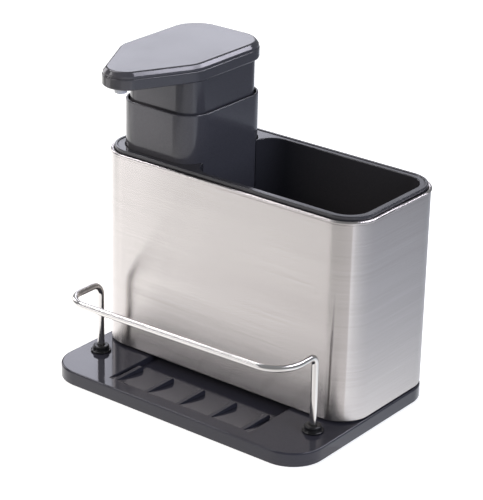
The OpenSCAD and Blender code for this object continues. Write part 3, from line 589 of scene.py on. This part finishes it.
for part, node in ((head_pan, "head_shell"), (cover, "head_cover")):
    part.data.materials.append(head_abs)
    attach(part, "head")
    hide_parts(node)


# ---- Nozzle -----------------------------------------------------------------------
# A short turned spout pressed into the duct's boss under the nose. It is moulded in
# pale, slightly clear polypropylene and is the only light part of the head.
nozzle_profile = [(1.6, band_z - 4.1), (2.7, band_z - 4.1)]
nozzle_profile += arc(2.9, band_z - 3.5, 0.6, -90, 0, 6)
nozzle_profile += [(3.5, band_z), (2.55, band_z), (2.55, band_z + 3.6), (1.6, band_z + 3.6)]
nozzle = make("spout", turned(nozzle_profile, bottle_x, nozzle_y, 56, loop=True), angle=50)
nozzle.data.materials.append(milky_pp("pale_pp_spout", "#d3d6da", 0.24))
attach(nozzle, "head")
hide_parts("spout_nozzle")


# ---- Studio -----------------------------------------------------------------------
# A seamless white floor whose mirror image in the steel is graded from front to back.
# Cards at the left and behind it show only in gloss: in the flat tops, the tray and the
# steel's foot; strips draw the bevel, the hem and the fine edges. Two lamps light the rest.
def math_node(tree, kind, *values):
    """A Math node's result; values are numbers or sockets."""
    return add(tree, "Math", dict(enumerate(values)), operation=kind).outputs[0]


def seen_directly(tree, path):
    """1 where the camera sees the surface itself or looks through something clear."""
    return math_node(tree, "MAXIMUM", path.outputs["Is Camera Ray"],
                     path.outputs["Is Transmission Ray"])


floor_mat, tree = new_material("matt_white_paper")
path = add(tree, "LightPath")
seen = seen_directly(tree, path)
spread = add(tree, "SeparateXYZ", {"Vector": add(tree, "TexCoord").outputs["Object"]})
# The way in which the steel's front sends the camera's view over the floor
mirror_x, mirror_y = 0.61, 0.79
along = math_node(tree, "MULTIPLY_ADD", spread.outputs["Y"], mirror_y,
                  math_node(tree, "MULTIPLY", spread.outputs["X"], mirror_x))
sweep = add(tree, "MapRange", {"Value": along, "From Min": -0.4, "From Max": 0.6})
tone = add(tree, "ValToRGB", {"Fac": sweep.outputs["Result"]})
stops = tone.color_ramp.elements
for where, strength, tint in (
        (0.0, 0.6, "#fffffd"), (0.04, 1.47, "#fffffd"), (0.434, 1.47, "#fffdff"),
        (0.44, 1.36, "#f8faff"), (0.52, 0.97, "#f4f8ff"), (0.62, 0.72, "#edf3ff"),
        (0.78, 0.68, "#eaf1ff"), (0.86, 0.2, "#eaf1ff")):
    stop = stops.new(where)
    stop.color = [c * strength for c in colour(tint)[:3]] + [1]
stops.remove(stops[0])
stops.remove(stops[-1])
# The paper is dimmer towards the camera, up to a line that runs out from the steel's corner
aside = math_node(tree, "MULTIPLY_ADD", spread.outputs["Y"], -mirror_x,
                  math_node(tree, "MULTIPLY", spread.outputs["X"], mirror_y))
dimming = add(tree, "MapRange", {"Value": aside, "From Min": -0.1, "From Max": 0.2,
                                 "To Min": 1.1, "To Max": 0.56})
front = math_node(tree, "LESS_THAN", along, 0.037)
level = add(tree, "Mix", {"Factor": front, "A": 1.0, "B": dimming.outputs["Result"]})
mirrored = add(tree, "Emission", {"Color": tone.outputs["Color"],
                                  "Strength": level.outputs["Result"]})
# To the camera the lit paper is lifted to plain white, and the shadow on it stays
lift = add(tree, "Emission", {"Color": (1, 1, 1, 1),
                              "Strength": math_node(tree, "MULTIPLY", seen, 0.75)})
paper = add(tree, "BsdfDiffuse", {"Color": colour("#f2f2f2")})
both = add(tree, "AddShader", {0: paper.outputs[0], 1: lift.outputs[0]})
full = add(tree, "MixShader", {0: path.outputs["Is Glossy Ray"], 1: both.outputs[0],
                               2: mirrored.outputs[0]})
# From below the paper is clear, so that a view of the underside isn't blocked
under_floor = add(tree, "NewGeometry")
clear = add(tree, "BsdfTransparent")
shown = add(tree, "MixShader", {0: under_floor.outputs["Backfacing"], 1: full.outputs[0],
                                2: clear.outputs[0]})
add(tree, "OutputMaterial", {"Surface": shown.outputs[0]})
floor_half = 6000
floor = make("studio_floor", ([(-floor_half, -floor_half, 0), (floor_half, -floor_half, 0),
                               (floor_half, floor_half, 0), (-floor_half, floor_half, 0)],
                              [(0, 1, 2, 3)]), angle=0)
floor.data.materials.append(floor_mat)

world = bpy.data.worlds.new("studio_air")
bpy.context.scene.world = world
world.use_nodes = True
tree = world.node_tree
tree.nodes.clear()
soft = add(tree, "Background", {"Color": colour("#eef1f6"), "Strength": 0.3})
white = add(tree, "Background", {"Color": (1, 1, 1, 1), "Strength": 1.0})
mixed = add(tree, "MixShader", {0: seen_directly(tree, add(tree, "LightPath")),
                                1: soft.outputs[0], 2: white.outputs[0]})
add(tree, "OutputWorld", {"Surface": mixed.outputs[0]})


def soft_box(name, lights, place, aim, width, height, glow, hex_value, along=(0, 0, 1)):
    """An area lamp of an even glow, its height along a direction. As "mirrors" it shows only
    in gloss, as "diffuse" it only lights, and as "all" it does both."""
    lamp = bpy.data.lights.new(name, "AREA")
    lamp.shape, lamp.size, lamp.size_y = "RECTANGLE", width, height
    lamp.energy, lamp.color = glow * math.pi * width * height, colour(hex_value)[:3]
    obj = bpy.data.objects.new(name, lamp)
    away = (Vector(place) - Vector(aim)).normalized()
    side = Vector(along).cross(away).normalized()
    obj.matrix_world = Matrix.Translation(place) @ Matrix(
        (side, away.cross(side), away)).transposed().to_4x4()
    obj.visible_glossy = lights != "diffuse"
    obj.visible_diffuse = lights != "mirrors"
    bpy.context.scene.collection.objects.link(obj)


# The flat tops and the left of the deck
soft_box("card_behind_left", "mirrors", (-0.727, 0.803, 0.53), (-0.043, -0.034, 0.051),
         0.26, 0.2, 2.5, "#e9e9f6")
soft_box("card_far_left", "mirrors", (-0.785, 0.70, 0.525), (-0.08, -0.05, 0.01),
         0.09, 0.12, 1.2, "#e9e9f6")
soft_box("card_behind_centre", "mirrors", (-0.542, 0.946, 0.55), (0, 0, 0.1),
         0.2, 0.16, 1.2, "#f0f0ff")
# The hem, the bevel and the fine edges
soft_box("strip_front_high", "mirrors", (-0.614, -0.625, 0.79), (0, 0, 0.1),
         0.5, 0.09, 5, "#fffdff")
soft_box("strip_behind_right", "mirrors", (0.53, 0.49, 0.99), (-0.03, 0, 0.187),
         0.26, 1.0, 11, "#f2f0ff", (-0.17, 0.635, -0.29))
soft_box("strip_overhead_left", "all", (-0.7, 0.1, 1.05), (-0.03, 0, 0.1),
         0.3, 0.5, 7, "#f6f4fa")
# The steel's left edge, its foot and its front
soft_box("card_left", "mirrors", (-1.1, 0.15, 0.48), (-0.08, 0, 0.05), 0.4, 0.5, 3.2, "#f4f0f6")
soft_box("card_low_left", "mirrors", (-0.42, -0.3, 0.02), (-0.42, -0.3, 0.5),
         0.24, 0.3, 1.05, "#fdfaff", (mirror_x, mirror_y, 0))
soft_box("card_low_front", "mirrors", (-0.67, -0.97, 0.22), (0, 0, 0.1),
         0.9, 0.17, 2.6, "#fdfaff")
# The plain light: warm from the front left, a little cooler from the right
soft_box("key_front_left", "diffuse", (-0.6, -1.05, 0.9), (0, 0, 0.08), 0.7, 0.7, 5.5, "#fff3e8")
soft_box("fill_right", "diffuse", (1.2, -0.1, 0.5), (0, 0, 0.1), 0.6, 0.6, 6, "#dfe4ff")


# ---- Camera -----------------------------------------------------------------------
# Fitted to the outlines in the photograph, with square pixels: a long lens from the
# right front, 23 degrees above the counter, rolled by a little over one.
azimuth, elevation, roll = math.radians(37.4158), math.radians(23.3431), math.radians(1.3405)
back = Vector((math.sin(azimuth) * math.cos(elevation), -math.cos(azimuth) * math.cos(elevation),
               math.sin(elevation)))
right = Vector((math.cos(azimuth), math.sin(azimuth), 0))
up = back.cross(right)
turned_right = right * math.cos(roll) + up * math.sin(roll)
turned_up = up * math.cos(roll) - right * math.sin(roll)
lens = bpy.data.cameras.new("long_lens")
lens.sensor_width, lens.sensor_fit, lens.lens = 36.0, "AUTO", 151.335
lens.clip_start, lens.clip_end = 0.05, 50.0
camera = bpy.data.objects.new("camera", lens)
looked_at, distance = Vector((-0.000407, -0.000311, 0.083179)), 1.1698
spot = looked_at + back * distance
camera.matrix_world = Matrix.Translation(spot) @ Matrix(
    (turned_right, turned_up, back)).transposed().to_4x4()
bpy.context.scene.collection.objects.link(camera)
bpy.context.scene.camera = camera
bpy.context.scene.view_settings.view_transform = "Standard"
